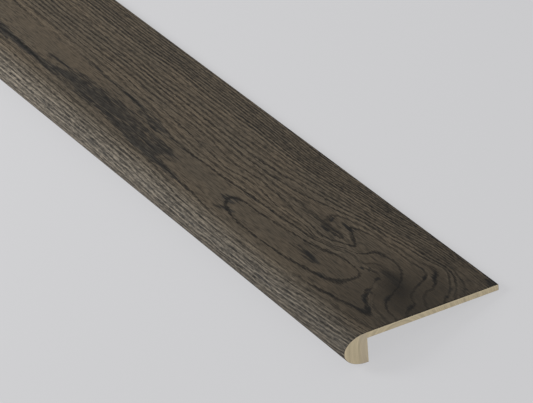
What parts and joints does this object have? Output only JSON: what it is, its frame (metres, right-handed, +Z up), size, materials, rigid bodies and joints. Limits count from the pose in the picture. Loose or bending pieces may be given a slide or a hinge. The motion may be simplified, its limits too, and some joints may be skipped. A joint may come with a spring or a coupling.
{
  "type": "stair tread",
  "caption": "Overlay stair tread in one piece of stained wood: a thin flat plate with a deep bullnose along its front edge that drops down over the old step.",
  "frame": {"origin": "on the floor under the centre of the tread's box, as it lies unheld with its finished face up", "axes": "+X along the front edge, +Y from the nose to the back edge, +Z up. The tread rests on the lower back arris of its nose and the lower arris of its back edge, so its top face slopes down towards +Y by 10.008 degrees. Turned by +10.008 degrees about +X it lies level, as on a step."},
  "size_m": [1.5, 0.3004, 0.0564],
  "materials": {
    "stained_oak": "satin"
  },
  "bodies": {
    "root": {"stair_tread": "stained_oak"}
  },
  "joints": []
}
